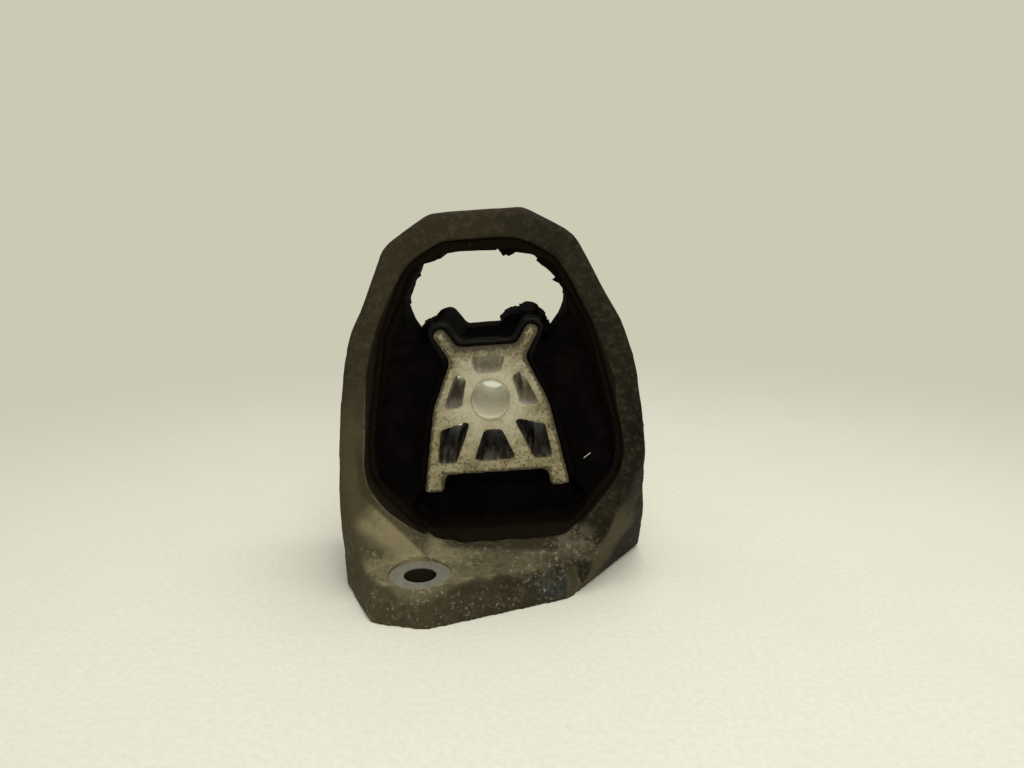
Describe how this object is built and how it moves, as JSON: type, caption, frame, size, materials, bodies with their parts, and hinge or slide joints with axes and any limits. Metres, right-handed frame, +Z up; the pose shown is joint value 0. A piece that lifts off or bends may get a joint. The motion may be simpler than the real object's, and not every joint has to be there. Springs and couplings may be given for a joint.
{
  "type": "engine mount",
  "caption": "Cast egg-shaped ring on a bolted foot, with a horned aluminium core held in a black rubber spring whose upper arms are torn.",
  "frame": {"origin": "on the base face, directly below the axis of the core's bore and halfway along it", "axes": "+Z up from the base face, -Y out of the front along the core's bore, X across the ring"},
  "size_m": [0.1254, 0.1179, 0.1509],
  "materials": {
    "bracket_aluminium": "die cast, dulled by olive brown dirt and pale salt spots",
    "core_aluminium": "cast, pale grey, dirt and pits towards its edges",
    "rubber": "satin black, aged, torn at the upper arms"
  },
  "bodies": {
    "root": {"bracket_casting": "bracket_aluminium", "core_casting": "core_aluminium", "rubber_spring": "rubber"}
  },
  "joints": []
}
